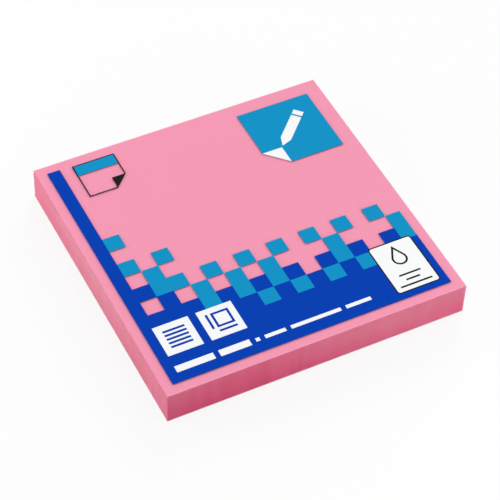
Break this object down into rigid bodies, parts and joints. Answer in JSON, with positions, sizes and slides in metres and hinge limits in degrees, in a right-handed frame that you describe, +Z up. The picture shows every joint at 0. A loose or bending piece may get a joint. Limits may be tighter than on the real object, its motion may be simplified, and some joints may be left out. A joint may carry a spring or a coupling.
{
  "type": "sticky note pad",
  "caption": "Square pad of pink sticky notes in a tight clear film, printed with blue tiles, white panels and plain pictograms; it rests on its flat underside.",
  "frame": {"origin": "middle of the underside, on the surface that the pad rests on", "axes": "+X along the front edge from left to right, +Y from the front edge to the back edge, +Z up through the stack of sheets"},
  "size_m": [0.0752, 0.0752, 0.0089],
  "materials": {
    "note_paper": "dyed wood-free paper, matt",
    "clear_film": "clear polypropylene film, glossy",
    "ink_dark_blue": "printed ink, satin",
    "ink_mid_blue": "printed ink, satin",
    "ink_white": "printed ink, satin",
    "ink_black": "printed ink, satin"
  },
  "bodies": {
    "root": {"note_block": "note_paper", "film_wrap": "clear_film", "print_dark_blue": "ink_dark_blue", "print_mid_blue": "ink_mid_blue", "print_white": "ink_white", "print_black": "ink_black"}
  },
  "joints": []
}
